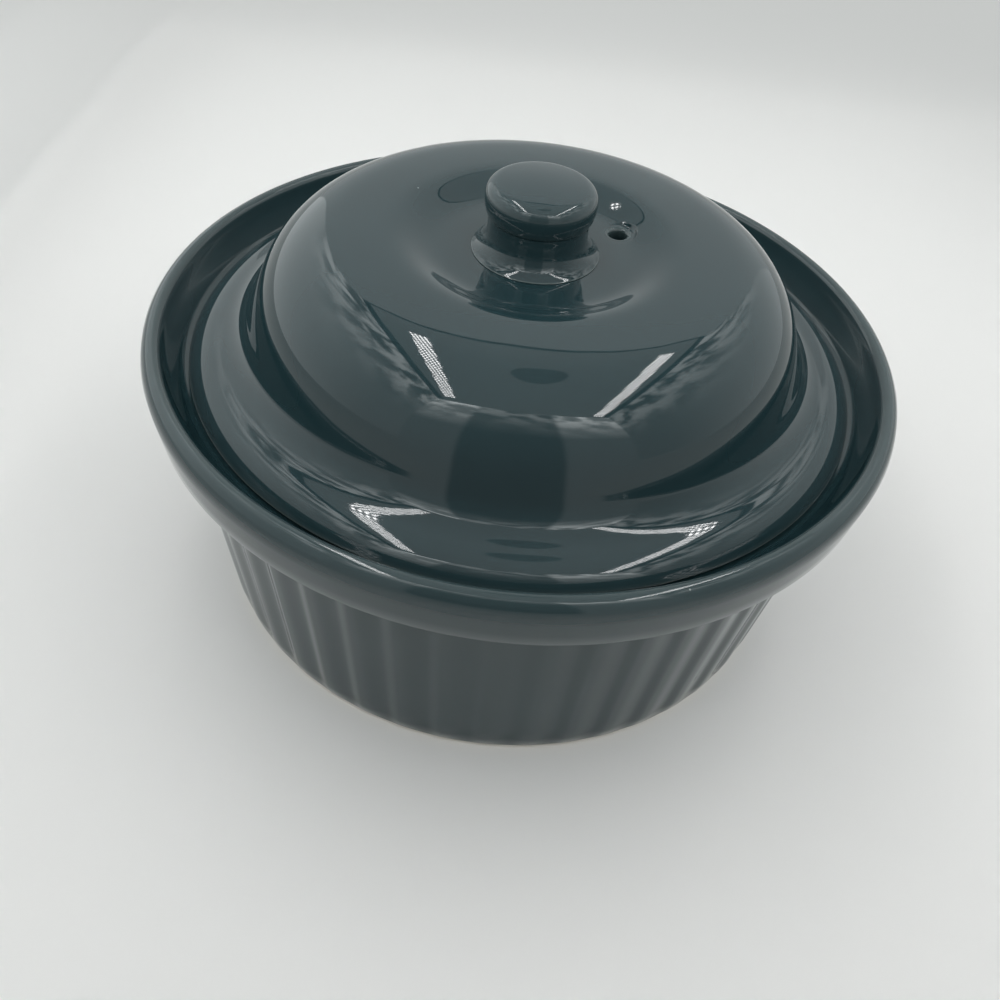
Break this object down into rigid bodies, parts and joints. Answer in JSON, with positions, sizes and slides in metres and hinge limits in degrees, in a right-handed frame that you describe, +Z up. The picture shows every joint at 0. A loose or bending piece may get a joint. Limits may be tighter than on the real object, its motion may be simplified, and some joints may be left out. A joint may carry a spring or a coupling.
{
  "type": "casserole dish with lid",
  "caption": "Round glazed stoneware casserole: tapering pleated wall, plain collar, inner gallery rim, and a lift-off domed lid with a knob and a steam vent.",
  "frame": {"origin": "centre of the foot ring, on the surface that the dish stands on", "axes": "+Z up along the axis of the dish and lid, -Y towards the viewer of the picture, +X to the viewer's right"},
  "size_m": [0.25, 0.25, 0.1492],
  "materials": {
    "dish_glaze": "gloss slate grey glaze, bare foot ring",
    "lid_glaze": "gloss slate grey glaze",
    "knob_glaze": "gloss slate grey glaze"
  },
  "bodies": {
    "dish": {"dish": "dish_glaze"},
    "lid": {"lid": "lid_glaze", "knob": "knob_glaze"}
  },
  "joints": [
    {"name": "lid_lift", "type": "slide", "parent": "dish", "child": "lid", "axis": [0, 0, 1], "range_m": [0, 0.12]}
  ]
}
